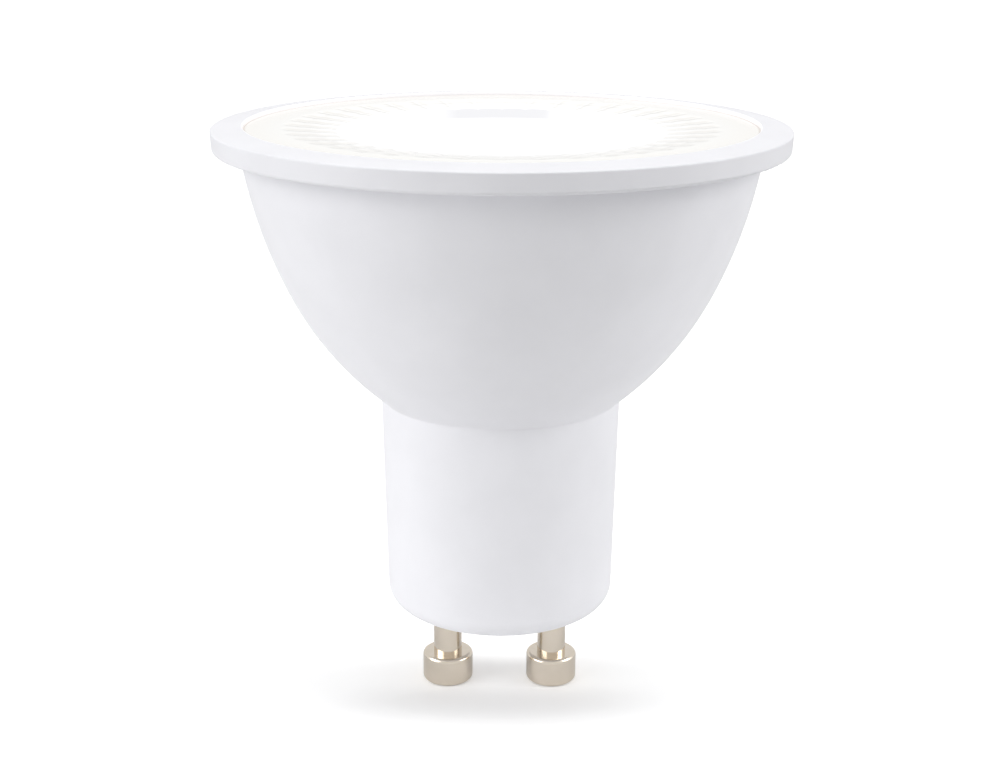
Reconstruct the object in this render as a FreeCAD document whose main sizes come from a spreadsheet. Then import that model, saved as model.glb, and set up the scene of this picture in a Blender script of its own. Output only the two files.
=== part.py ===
"""GU10 LED spotlight bulb with its driver, in millimetres.

Frame: +Z up towards the lens, origin on the lamp's axis in the plane of the pins' ends,
the two contact pins in line along X.
"""
import FreeCAD, Part
import Sketcher
import math
import os

Vector = FreeCAD.Vector

# Driving dimensions: name, value, what it measures
SIZES = [
    ("flange_diameter", 50.5, "across the flange round the lens"),
    ("flange_height", 2.05, "flange, from its underside to the top of its face"),
    ("flange_crown", 0.28, "fall of the flange's face from its inner to its outer edge"),
    ("flange_inset", 0.1, "by how much the flange's lower edge stands in"),
    ("flange_top_round", 0.15, "radius of the flange's upper edge"),
    ("flange_bottom_round", 0.3, "radius of the flange's lower edge"),
    ("bowl_height", 22.7, "from the crease up to the flange"),
    ("flange_overhang", 2.4, "flange beyond the bowl under it"),
    ("bowl_top_tilt", 8.1, "degrees that the bowl leans inwards where it leaves the flange"),
    ("bowl_turn_across", 0.69, "where the bowl's two arcs meet, as a share from neck to bowl radius"),
    ("bowl_turn_up", 0.458, "where the bowl's two arcs meet, as a share of the bowl's height"),
    ("bowl_wall", 1.2, "thickness of the bowl's wall"),
    ("crease_round", 0.25, "radius in the crease between bowl and neck"),
    ("neck_height", 20.25, "from the neck's end up to the crease"),
    ("neck_diameter", 21.9, "across the neck at the crease"),
    ("neck_narrowing", 0.4, "by how much the neck's end is smaller in radius than its top"),
    ("neck_round", 1.7, "radius of the neck's lower edge"),
    ("neck_wall", 1.3, "thickness of the neck's wall at its end"),
    ("base_wall", 2.0, "thickness of the neck's closed end"),
    ("flange_face", 2.75, "width of the flange's face round the lens"),
    ("lens_recess", 0.33, "depth of the lens below the flange's face"),
    ("lens_gap", 0.1, "radial clearance of the lens in its opening"),
    ("lens_edge", 1.5, "thickness of the lens at its edge"),
    ("lens_wall", 1.5, "thickness of the lens in its sunk middle"),
    ("lens_skirt_depth", 2.0, "skirt under the lens"),
    ("lens_skirt_wall", 1.0, "thickness of the skirt"),
    ("lens_skirt_gap", 0.2, "clearance of the skirt inside the bowl"),
    ("plain_ring_width", 3.1, "plain ring at the edge of the lens"),
    ("facet_ring_width", 4.9, "ring of facets inside it"),
    ("facet_ring_fall", 0.37, "fall of the facet ring towards the middle"),
    ("facet_crown_radius", 4.3, "crown of one row of facets"),
    ("facet_groove_radius", 0.9, "radius of the valley between two columns of facets"),
    ("facet_groove_depth", 0.16, "depth of that valley"),
    ("facet_rows", 3, "rows of facets"),
    ("facet_columns", 40, "columns of facets"),
    ("sunk_depth", 0.85, "depth of the sunk middle"),
    ("sunk_inset", 0.3, "by how much the sunk middle's wall leans in"),
    ("sink_wall", 0.8, "sheet thickness of the heat sink"),
    ("sink_gap", 0.3, "clearance of the heat sink inside the bowl and under the lens"),
    ("sink_lift", 1.5, "heat sink above the driver board"),
    ("sink_hole_diameter", 7.0, "hole in the floor for the leads"),
    ("screw_edge", 2.6, "from a screw's axis to the LED board's edge"),
    ("screw_diameter", 1.9, "shank of a board screw"),
    ("screw_length", 6.0, "screw under its head"),
    ("screw_head_diameter", 3.8, "head of a board screw"),
    ("screw_head_height", 1.4, "height of the head"),
    ("screw_slot_length", 2.28, "driver slot, each arm of the cross from end to end"),
    ("screw_slot_width", 0.6, "driver slot, each arm of the cross"),
    ("screw_slot_depth", 0.7, "depth of the cross"),
    ("screw_pilot_gap", 0.05, "radial clearance of the screw in its boss"),
    ("screw_hole_gap", 0.2, "radial clearance of the screw in the board and the heat sink"),
    ("boss_diameter", 4.2, "screw boss"),
    ("boss_spare_depth", 1.0, "boss bore below the screw's tip"),
    ("led_board_gap", 0.3, "clearance of the LED board inside the heat sink"),
    ("led_board_thickness", 1.0, "LED board"),
    ("led_count", 8, "LEDs"),
    ("led_edge", 7.0, "from the LEDs' middles to the LED board's edge"),
    ("led_length", 3.5, "one LED, along the circle"),
    ("led_width", 2.8, "one LED, across the circle"),
    ("led_height", 0.7, "one LED"),
    ("led_lead_spacing", 2.54, "between the two leads to the LED board"),
    ("led_lead_width", 0.64, "square section of a lead"),
    ("led_lead_lap", 4.0, "length soldered to the driver board"),
    ("led_lead_stand", 0.5, "end that stands out of the LED board"),
    ("led_lead_gap", 0.15, "clearance round a lead in the LED board"),
    ("driver_side_gap", 0.45, "clearance of the driver board inside the neck"),
    ("driver_thickness", 1.0, "driver board"),
    ("driver_lift", 2.2, "driver board above the inside of the base"),
    ("driver_edge", 0.2, "driver board above the transformer"),
    ("rail_width", 4.0, "guide rail, along the board's face normal"),
    ("rail_depth", 1.05, "guide rail, inwards from the neck's bore"),
    ("rail_root", 0.45, "guide rail, buried in the neck's wall"),
    ("rail_height", 13.8, "guide rail, above the board's lower edge"),
    ("rail_pin_gap", 0.2, "guide rail above the contact pins' inner ends"),
    ("rail_slot_gap", 0.1, "clearance of the board in its slot"),
    ("pin_spacing", 10.0, "between the contact pins"),
    ("pin_length", 8.8, "contact pin, from its end to the neck"),
    ("pin_head_diameter", 4.8, "head of a contact pin"),
    ("pin_head_height", 2.8, "height of the head"),
    ("pin_head_round", 0.35, "radius of the head's edges"),
    ("pin_shank_diameter", 2.7, "shank of a contact pin"),
    ("pin_hole_gap", 0.05, "radial clearance of the shank in the base"),
    ("pin_bore_diameter", 1.4, "bore in the pin's inner end"),
    ("pin_bore_depth", 3.4, "depth of that bore"),
    ("rivet_diameter", 3.8, "flared inner end of a contact pin"),
    ("rivet_height", 0.6, "height of the flare"),
    ("washer_diameter", 4.6, "washer under the flare"),
    ("washer_thickness", 0.5, "washer under the flare"),
    ("lead_diameter", 1.0, "mains lead over its insulation"),
    ("lead_depth", 2.4, "mains lead inside the pin's bore"),
    ("lead_lap", 4.0, "mains lead along the driver board"),
    ("part_gap", 0.2, "component above the driver board"),
    ("leg_width", 0.5, "legs of a component"),
    ("leg_drop", 1.2, "leg from a component to its bend"),
    ("leg_root", 0.1, "end of a leg inside its capacitor"),
    ("input_cap_gap", 1.55, "clearance of the input capacitor inside the neck"),
    ("input_cap_height", 11.5, "input capacitor"),
    ("input_cap_lift", 4.5, "input capacitor above the board's lower edge"),
    ("output_cap_diameter", 4.0, "output capacitor"),
    ("output_cap_height", 7.5, "output capacitor"),
    ("output_cap_edge", 0.4, "output capacitor inside the board's side edge"),
    ("output_cap_lift", 0.3, "output capacitor above the transformer's lower edge"),
    ("cap_bead_depth", 0.25, "bead rolled into a capacitor's can"),
    ("cap_bead_height", 1.6, "bead above the can's end"),
    ("fuse_diameter", 2.3, "fuse resistor"),
    ("fuse_length", 6.5, "fuse resistor"),
    ("fuse_edge", 1.05, "fuse resistor inside the board's side edge"),
    ("fuse_lift", 6.4, "fuse resistor above the board's lower edge"),
    ("film_cap_width", 2.6, "film capacitor, across the board"),
    ("film_cap_depth", 3.5, "film capacitor, out from the board"),
    ("film_cap_height", 6.0, "film capacitor, up the board"),
    ("film_cap_edge", 1.0, "film capacitor inside the board's side edge"),
    ("film_cap_lift", 6.6, "film capacitor above the board's lower edge"),
    ("film_cap_round", 0.4, "radius of the film capacitor's front upright edges"),
    ("core_width", 8.3, "transformer core, across the board"),
    ("core_height", 8.0, "transformer core, up the board"),
    ("core_depth", 3.6, "transformer core, out from the board"),
    ("core_leg", 1.9, "middle leg of the core"),
    ("core_yoke", 1.2, "yoke and outer legs of the core"),
    ("core_edge", 1.1, "transformer inside the board's side edge"),
    ("core_gap", 1.3, "transformer above the input capacitor"),
    ("coil_depth", 6.6, "bobbin, out from the board"),
    ("coil_gap", 0.1, "clearance between bobbin and core"),
    ("bobbin_flange", 0.6, "end flanges of the bobbin"),
    ("bobbin_step", 0.5, "height of the flanges over the winding"),
    ("bridge_width", 4.7, "bridge rectifier"),
    ("bridge_height", 3.8, "bridge rectifier"),
    ("bridge_depth", 1.6, "bridge rectifier"),
    ("bridge_lift", 4.8, "bridge rectifier above the board's lower edge"),
    ("chip_width", 4.9, "driver chip"),
    ("chip_height", 3.9, "driver chip"),
    ("chip_depth", 1.5, "driver chip"),
    ("chip_lift", 11.8, "driver chip above the board's lower edge"),
    ("diode_width", 2.6, "output diode"),
    ("diode_height", 4.3, "output diode"),
    ("diode_depth", 2.1, "output diode"),
    ("diode_edge", 2.1, "output diode inside the board's side edge"),
    ("diode_lift", 1.5, "output diode above the transformer's lower edge"),
    ("foot_length", 1.0, "soldered feet of a chip"),
    ("foot_width", 0.45, "soldered feet of a chip"),
    ("foot_thickness", 0.2, "soldered feet of a chip"),
    ("resistor_length", 3.2, "chip resistor"),
    ("resistor_width", 1.6, "chip resistor"),
    ("resistor_depth", 0.55, "chip resistor"),
    ("resistor_edge", 1.4, "chip resistors inside the board's side edges"),
    ("resistor_pitch", 3.8, "between chip resistors in a column"),
    ("resistor_lift", 3.8, "lowest chip resistor above the board's lower edge"),
    ("resistor_rows", 3, "chip resistors in a column"),
]

# Heights and radii that follow from them
CREASE = "(sizes.pin_length + sizes.neck_height)"
FLANGE = f"({CREASE} + sizes.bowl_height)"
TOP = f"({FLANGE} + sizes.flange_height)"
BASE = "(sizes.pin_length + sizes.base_wall)"
NECK = "(sizes.neck_diameter / 2)"
NECK_END = f"({NECK} - sizes.neck_narrowing)"
BORE = f"({NECK_END} - sizes.neck_wall)"
BOARD_SIDE = f"({BORE} - sizes.driver_side_gap)"
LENS_TOP = f"({TOP} - sizes.lens_recess)"
LEDGE = f"({LENS_TOP} - sizes.lens_edge)"
SKIRT_END = f"({LEDGE} - sizes.lens_skirt_depth)"
OPENING = "(sizes.flange_diameter / 2 - sizes.flange_face)"
LENS_EDGE = f"({OPENING} - sizes.lens_gap)"
FACET_EDGE = f"({LENS_EDGE} - sizes.plain_ring_width)"
SUNK_EDGE = f"({FACET_EDGE} - sizes.facet_ring_width)"
BOWL = "(sizes.flange_diameter / 2 - sizes.flange_overhang)"
DRIVER_FRONT = "(0 - sizes.lead_diameter / 2)"
DRIVER_BACK = f"({DRIVER_FRONT} - sizes.driver_thickness)"
DRIVER_BOTTOM = f"({BASE} + sizes.driver_lift)"
INPUT_CAP = f"({DRIVER_BOTTOM} + sizes.input_cap_lift)"
CORE = f"({INPUT_CAP} + sizes.input_cap_height + sizes.core_gap)"
DRIVER_TOP = f"({CORE} + sizes.core_height + sizes.driver_edge)"
BOSS_TOP = f"({DRIVER_TOP} + sizes.sink_lift)"
SINK_FLOOR = f"({BOSS_TOP} + sizes.sink_wall)"
BOARD_TOP = f"({SINK_FLOOR} + sizes.led_board_thickness)"
RIVET = f"({BASE} + sizes.washer_thickness)"
PIN_TOP = f"({RIVET} + sizes.rivet_height)"
RAIL_FOOT = f"({PIN_TOP} + sizes.rail_pin_gap)"
LED_LEAD_Y = f"({DRIVER_BACK} - sizes.led_lead_width / 2)"

doc = FreeCAD.newDocument("gu10_lamp")
sheet = doc.addObject("Spreadsheet::Sheet", "sizes")
for row, (alias, value, meaning) in enumerate(SIZES, start=1):
    sheet.set(f"A{row}", meaning)
    sheet.set(f"B{row}", str(value))
    sheet.setAlias(f"B{row}", alias)
doc.recompute()

parts = {}


def number(expression):
    """Value of an expression on the sheet."""
    return float(sheet.evalExpression(str(expression)))


def place(name, item):
    """Keep a finished sub-part under its own name."""
    item.Label = name
    parts[name] = item
    return item


# Sketch helpers

def origin_feature(body, role):
    return next(item for item in body.Origin.OriginFeatures if item.Role == role)


def new_sketch(body, name, plane="XZ_Plane", height=None):
    """Empty sketch on one of the body's own planes, lifted to a height if one is given."""
    sketch = body.newObject("Sketcher::SketchObject", name)
    sketch.AttachmentSupport = [(origin_feature(body, plane), "")]
    sketch.MapMode = "FlatFace"
    if height is not None:
        sketch.AttachmentOffset = FreeCAD.Placement(Vector(0, 0, number(height)), FreeCAD.Rotation())
        sketch.setExpression("AttachmentOffset.Base.z", str(height))
    return sketch


def drive(sketch, kind, references, expression):
    """Add a dimension that follows an expression on the sheet."""
    index = sketch.addConstraint(Sketcher.Constraint(kind, *references, number(expression)))
    sketch.setExpression(f"Constraints[{index}]", str(expression))


def fix_point(sketch, edge, end, across, up):
    """Hold one end of an edge at driven coordinates."""
    for kind, expression, axis in (("DistanceX", across, -2), ("DistanceY", up, -1)):
        if abs(number(expression)) < 1e-9:
            sketch.addConstraint(Sketcher.Constraint("PointOnObject", edge, end, axis))
        else:
            drive(sketch, kind, (-1, 1, edge, end), expression)


def polygon(body, name, corners, plane="XZ_Plane", height=None, sketch=None):
    """Closed outline through corners, each a pair of expressions."""
    sketch = sketch or new_sketch(body, name, plane, height)
    points = [Vector(number(across), number(up), 0) for across, up in corners]
    first = len(sketch.Geometry)
    for start, end in zip(points, points[1:] + points[:1]):
        sketch.addGeometry(Part.LineSegment(start, end), False)
    for index, (across, up) in enumerate(corners):
        following = first + (index + 1) % len(corners)
        sketch.addConstraint(Sketcher.Constraint("Coincident", first + index, 2, following, 1))
        fix_point(sketch, first + index, 1, across, up)
    return sketch


def circles(body, name, radius, centres, height):
    """Circles of one radius on the horizontal plane."""
    sketch = new_sketch(body, name, "XY_Plane", height)
    for across, up in centres:
        centre = Vector(number(across), number(up), 0)
        edge = sketch.addGeometry(Part.Circle(centre, Vector(0, 0, 1), number(radius)), False)
        drive(sketch, "Radius", (edge,), radius)
        fix_point(sketch, edge, 3, across, up)
    return sketch


def add_arc(sketch, start, middle, end):
    """Arc through three points: its index and which of its ends is the start and the end."""
    turn = (middle - start).cross(end - middle).z
    if turn > 0:
        return sketch.addGeometry(Part.Arc(start, middle, end), False), 1, 2
    return sketch.addGeometry(Part.Arc(end, middle, start), False), 2, 1


# Feature helpers

def revolve(body, name, sketch, kind="PartDesign::Revolution", axis="V_Axis"):
    feature = body.newObject(kind, name)
    feature.Profile = sketch
    feature.ReferenceAxis = (sketch, [axis])
    feature.Angle = 360
    doc.recompute()
    return feature


def pad(body, name, sketch, length):
    feature = body.newObject("PartDesign::Pad", name)
    feature.Profile = sketch
    feature.setExpression("Length", str(length))
    doc.recompute()
    return feature


def cut_up(body, name, sketch, length):
    """Pocket that runs upwards from its sketch."""
    before = body.Shape.Volume
    feature = body.newObject("PartDesign::Pocket", name)
    feature.Profile = sketch
    feature.Reversed = True
    feature.setExpression("Length", str(length))
    doc.recompute()
    if body.Shape.Volume >= before - 1e-6:
        raise RuntimeError(f"{name} cuts nothing")
    return feature


def circle_edges(shape, radius, height):
    """Names of the full circles about the axis with this radius and height."""
    found = []
    for index, edge in enumerate(shape.Edges, start=1):
        curve = edge.Curve
        if not isinstance(curve, Part.Circle):
            continue
        on_axis = math.hypot(curve.Center.x, curve.Center.y) < 1e-4
        if on_axis and abs(curve.Radius - radius) < 1e-3 and abs(curve.Center.z - height) < 1e-3:
            found.append(f"Edge{index}")
    return found


def round_edges(body, name, radius, places):
    """Fillet the circles at these radii and heights."""
    base = body.Tip
    names = []
    for across, up in places:
        names += circle_edges(base.Shape, number(across), number(up))
    if len(names) < len(places):
        raise RuntimeError(f"{name} misses an edge")
    feature = body.newObject("PartDesign::Fillet", name)
    feature.Base = (base, names)
    feature.setExpression("Radius", str(radius))
    doc.recompute()
    return feature


def new_body(name):
    return doc.addObject("PartDesign::Body", name)


# Primitive helpers

def move(item, across, depth, up):
    """Place an item by expressions, or leave an axis at zero."""
    for axis, expression in (("x", across), ("y", depth), ("z", up)):
        item.setExpression(f"Placement.Base.{axis}", str(expression))
    return item


def block(name, centre, size, depth_from, up_from):
    """Box centred across the board, from a depth and a height upwards."""
    item = doc.addObject("Part::Box", name)
    for side, expression in zip(("Length", "Width", "Height"), size):
        item.setExpression(side, str(expression))
    return move(item, f"{centre} - ({size[0]}) / 2", depth_from, up_from)


def rod(name, radius, length, across, depth, up):
    """Upright cylinder."""
    item = doc.addObject("Part::Cylinder", name)
    item.setExpression("Radius", str(radius))
    item.setExpression("Height", str(length))
    return move(item, across, depth, up)


def fuse(name, items):
    item = doc.addObject("Part::MultiFuse", name)
    item.Shapes = items
    return item


def cut(name, base, tool):
    item = doc.addObject("Part::Cut", name)
    item.Base = base
    item.Tool = tool
    return item


def group(name, items):
    """Separate solids that share one node."""
    item = doc.addObject("Part::Compound", name)
    item.Links = items
    return item


# The bowl's outline, worked out once: two arcs that run on into each other

def arc_middle(start, tangent, end):
    """Middle of the arc that leaves start along tangent and ends at end."""
    chord = end - start
    side = Vector(-chord.y, chord.x, 0).normalize()
    bend = math.atan2(chord.cross(tangent).z, chord.dot(tangent))
    return (start + end) * 0.5 + side * (chord.Length / 2 * math.tan(bend / 2))


def end_tangent(start, tangent, end):
    """Direction in which that arc arrives."""
    chord = end - start
    bend = math.atan2(chord.cross(tangent).z, chord.dot(tangent))
    return FreeCAD.Rotation(Vector(0, 0, 1), math.degrees(-2 * bend)).multVec(tangent)


def arc_circle(start, middle, end):
    curve = Part.Arc(start, middle, end).toShape().Curve
    return curve.Center, curve.Radius


bowl_tilt = math.radians(number("sizes.bowl_top_tilt"))
BOWL_TOP = (BOWL, FLANGE)
BOWL_TURN = (
    f"{NECK} + sizes.bowl_turn_across * ({BOWL} - {NECK})",
    f"{CREASE} + sizes.bowl_turn_up * sizes.bowl_height",
)
BOWL_END = (NECK, CREASE)

bowl_top, bowl_turn, bowl_end = (
    Vector(number(across), number(up), 0) for across, up in (BOWL_TOP, BOWL_TURN, BOWL_END)
)
bowl_leaves = Vector(-math.sin(bowl_tilt), -math.cos(bowl_tilt), 0)
bowl_turns = end_tangent(bowl_top, bowl_leaves, bowl_turn)
upper_middle = arc_middle(bowl_top, bowl_leaves, bowl_turn)
lower_middle = arc_middle(bowl_turn, bowl_turns, bowl_end)
upper_centre, upper_radius = arc_circle(bowl_top, upper_middle, bowl_turn)
lower_centre, lower_radius = arc_circle(bowl_turn, lower_middle, bowl_end)


def bowl_radius_at(height, inset=0.0):
    """Radius of the bowl at a height, measured this far inside its outer face."""
    upper = height > bowl_turn.y
    centre, radius = (upper_centre, upper_radius) if upper else (lower_centre, lower_radius)
    return centre.x + math.sqrt((radius - inset) ** 2 - (height - centre.y) ** 2)


def bowl_height_at(radius):
    """Height at which the bowl's outer face has a radius."""
    low, high = bowl_end.y, bowl_top.y
    while high - low > 1e-4:
        middle = (low + high) / 2
        if bowl_radius_at(middle) < radius:
            low = middle
        else:
            high = middle
    return high


# The heat sink follows the bowl's inside, and the LED board and its screws follow the heat sink

sink_low = bowl_radius_at(number(BOSS_TOP), number("sizes.bowl_wall")) - number("sizes.sink_gap")
LED_BOARD = f"({sink_low} - sizes.sink_wall - sizes.led_board_gap)"
SCREW = f"({LED_BOARD} - sizes.screw_edge)"
SCREWS = [(SCREW, "0"), (f"0 - {SCREW}", "0")]


# Housing: flange, bowl and neck in one white moulding

def housing_section(body):
    """Half section of the moulding, as one closed outline."""
    sketch = new_sketch(body, "housing_section")
    wall = number("sizes.bowl_wall")
    bore = number(BORE)

    def inwards(point, centre):
        return point + (centre - point).normalize() * wall

    inner_top = inwards(bowl_top, upper_centre)
    inner_turn = inwards(bowl_turn, upper_centre)
    inner_radius = lower_radius - wall
    reach = math.sqrt(inner_radius ** 2 - (bore - lower_centre.x) ** 2)
    inner_end = Vector(bore, lower_centre.y - reach, 0)

    def line(start, end):
        return sketch.addGeometry(Part.LineSegment(start, end), False), 1, 2

    def at(across, up):
        return Vector(number(across), number(up), 0)

    corners = {
        "end_axis": ("0", "sizes.pin_length"),
        "end_edge": (NECK_END, "sizes.pin_length"),
        "flange_under": ("sizes.flange_diameter / 2 - sizes.flange_inset", FLANGE),
        "flange_edge": ("sizes.flange_diameter / 2", f"{TOP} - sizes.flange_crown"),
        "face_inner": (OPENING, TOP),
        "ledge_outer": (OPENING, LEDGE),
        "bore_end": (BORE, BASE),
        "base_axis": ("0", BASE),
    }
    point = {name: at(*pair) for name, pair in corners.items()}
    ledge_inner = Vector(inner_top.x, number(LEDGE), 0)

    # The crown of the face is an arc that is level at the lens
    face = point["face_inner"] - point["flange_edge"]
    crown = arc_middle(point["face_inner"], Vector(1, 0, 0), point["flange_edge"])

    end_face = line(point["end_axis"], point["end_edge"])
    neck = line(point["end_edge"], bowl_end)
    lower = add_arc(sketch, bowl_end, lower_middle, bowl_turn)
    upper = add_arc(sketch, bowl_turn, upper_middle, bowl_top)
    under = line(bowl_top, point["flange_under"])
    side = line(point["flange_under"], point["flange_edge"])
    crowned = add_arc(sketch, point["flange_edge"], crown, point["face_inner"])
    opening_wall = line(point["face_inner"], point["ledge_outer"])
    ledge = line(point["ledge_outer"], ledge_inner)
    throat = line(ledge_inner, inner_top)
    middle = inwards(upper_middle, upper_centre)
    inner_upper = add_arc(sketch, inner_top, middle, inner_turn)
    middle = lower_centre + ((inner_turn + inner_end) * 0.5 - lower_centre).normalize() * inner_radius
    inner_lower = add_arc(sketch, inner_turn, middle, inner_end)
    bore_wall = line(inner_end, point["bore_end"])
    base_face = line(point["bore_end"], point["base_axis"])
    axis = line(point["base_axis"], point["end_axis"])

    chain = [end_face, neck, lower, upper, under, side, crowned, opening_wall, ledge, throat,
             inner_upper, inner_lower, bore_wall, base_face, axis]
    smooth = [(lower, upper), (inner_upper, inner_lower)]
    for one, two in zip(chain, chain[1:] + chain[:1]):
        kind = "Tangent" if (one, two) in smooth else "Coincident"
        sketch.addConstraint(Sketcher.Constraint(kind, one[0], one[2], two[0], two[1]))

    for edge, name in ((end_face, "end_axis"), (neck, "end_edge"), (side, "flange_under"),
                       (crowned, "flange_edge"), (opening_wall, "face_inner"),
                       (ledge, "ledge_outer"), (base_face, "bore_end"), (axis, "base_axis")):
        fix_point(sketch, edge[0], edge[1], *corners[name])
    fix_point(sketch, lower[0], lower[1], *BOWL_END)
    fix_point(sketch, upper[0], upper[1], *BOWL_TURN)
    fix_point(sketch, under[0], under[1], *BOWL_TOP)
    sketch.addConstraint(Sketcher.Constraint("Vertical", crowned[0], 3, crowned[0], crowned[2]))

    # The lean of the bowl at the flange is the slope of its radius there
    spoke = sketch.addGeometry(Part.LineSegment(upper_centre, bowl_top), True)
    sketch.addConstraint(Sketcher.Constraint("Coincident", spoke, 1, upper[0], 3))
    sketch.addConstraint(Sketcher.Constraint("Coincident", spoke, 2, upper[0], upper[2]))
    index = sketch.addConstraint(Sketcher.Constraint("Angle", spoke, -bowl_tilt))
    sketch.setExpression(f"Constraints[{index}]", "sizes.bowl_top_tilt * -1 deg")

    # The inner face runs at one wall's distance from the outer one
    sketch.addConstraint(Sketcher.Constraint("Coincident", inner_upper[0], 3, upper[0], 3))
    sketch.addConstraint(Sketcher.Constraint("Coincident", inner_lower[0], 3, lower[0], 3))
    sketch.addConstraint(Sketcher.Constraint("PointOnObject", inner_upper[0], inner_upper[1], spoke))
    drive(sketch, "Distance", (inner_upper[0], inner_upper[1], upper[0], upper[2]), "sizes.bowl_wall")
    sketch.addConstraint(Sketcher.Constraint("Vertical", throat[0]))
    sketch.addConstraint(Sketcher.Constraint("Horizontal", ledge[0]))
    sketch.addConstraint(Sketcher.Constraint("Vertical", bore_wall[0]))
    return sketch


def make_housing():
    body = new_body("housing_body")
    revolve(body, "housing_shell", housing_section(body))

    flange_edge = ("sizes.flange_diameter / 2", f"{TOP} - sizes.flange_crown")
    flange_under = ("sizes.flange_diameter / 2 - sizes.flange_inset", FLANGE)
    round_edges(body, "flange_top_edge", "sizes.flange_top_round", [flange_edge])
    round_edges(body, "flange_bottom_edge", "sizes.flange_bottom_round", [flange_under])
    round_edges(body, "crease", "sizes.crease_round", [BOWL_END])
    neck_end = (NECK_END, "sizes.pin_length")
    round_edges(body, "neck_edge", "sizes.neck_round", [neck_end])

    # Screw bosses grow out of the bowl's wall, from where they are wholly inside it
    boss_radius = "sizes.boss_diameter / 2"
    boss_start = bowl_height_at(number(f"{SCREW} + {boss_radius}"))
    pad(body, "bosses", circles(body, "boss_circles", boss_radius, SCREWS, boss_start),
        f"{BOSS_TOP} - {boss_start}")

    pilot = "sizes.screw_diameter / 2 + sizes.screw_pilot_gap"
    grip = "(sizes.screw_length - sizes.sink_wall - sizes.led_board_thickness + sizes.boss_spare_depth)"
    pilot_circles = circles(body, "pilot_circles", pilot, SCREWS, f"{BOSS_TOP} - {grip}")
    cut_up(body, "boss_bores", pilot_circles, grip)

    # Guide rails stand on the neck's wall above the pins, with a slot for each edge of the driver board
    rails = new_sketch(body, "rail_outlines", "XY_Plane", RAIL_FOOT)
    slots = new_sketch(body, "slot_outlines", "XY_Plane", DRIVER_BOTTOM)
    middle = f"({DRIVER_FRONT} - sizes.driver_thickness / 2)"
    for sign in ("", "0 - "):
        inner = f"{sign}({BORE} - sizes.rail_depth)"
        root = f"{sign}({BORE} + sizes.rail_root)"
        near = f"{middle} - sizes.rail_width / 2"
        far = f"{middle} + sizes.rail_width / 2"
        polygon(body, None, [(inner, near), (root, near), (root, far), (inner, far)], sketch=rails)
        mouth = f"{sign}({BORE} - sizes.rail_depth - sizes.rail_slot_gap)"
        floor = f"{sign}({BOARD_SIDE} + sizes.rail_slot_gap)"
        near = f"{DRIVER_BACK} - sizes.rail_slot_gap"
        far = f"{DRIVER_FRONT} + sizes.rail_slot_gap"
        polygon(body, None, [(mouth, near), (floor, near), (floor, far), (mouth, far)], sketch=slots)
    pad(body, "rails", rails, f"{DRIVER_BOTTOM} + sizes.rail_height - {RAIL_FOOT}")
    cut_up(body, "slots", slots, "sizes.rail_height + sizes.rail_slot_gap")

    hole = "sizes.pin_shank_diameter / 2 + sizes.pin_hole_gap"
    pins = [("sizes.pin_spacing / 2", "0"), ("0 - sizes.pin_spacing / 2", "0")]
    cut_up(body, "pin_holes", circles(body, "pin_circles", hole, pins, "sizes.pin_length"), "sizes.base_wall")
    place("housing", body)


# Lens: plain outer ring, crowned facets in rows and columns, sunk middle, skirt

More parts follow.
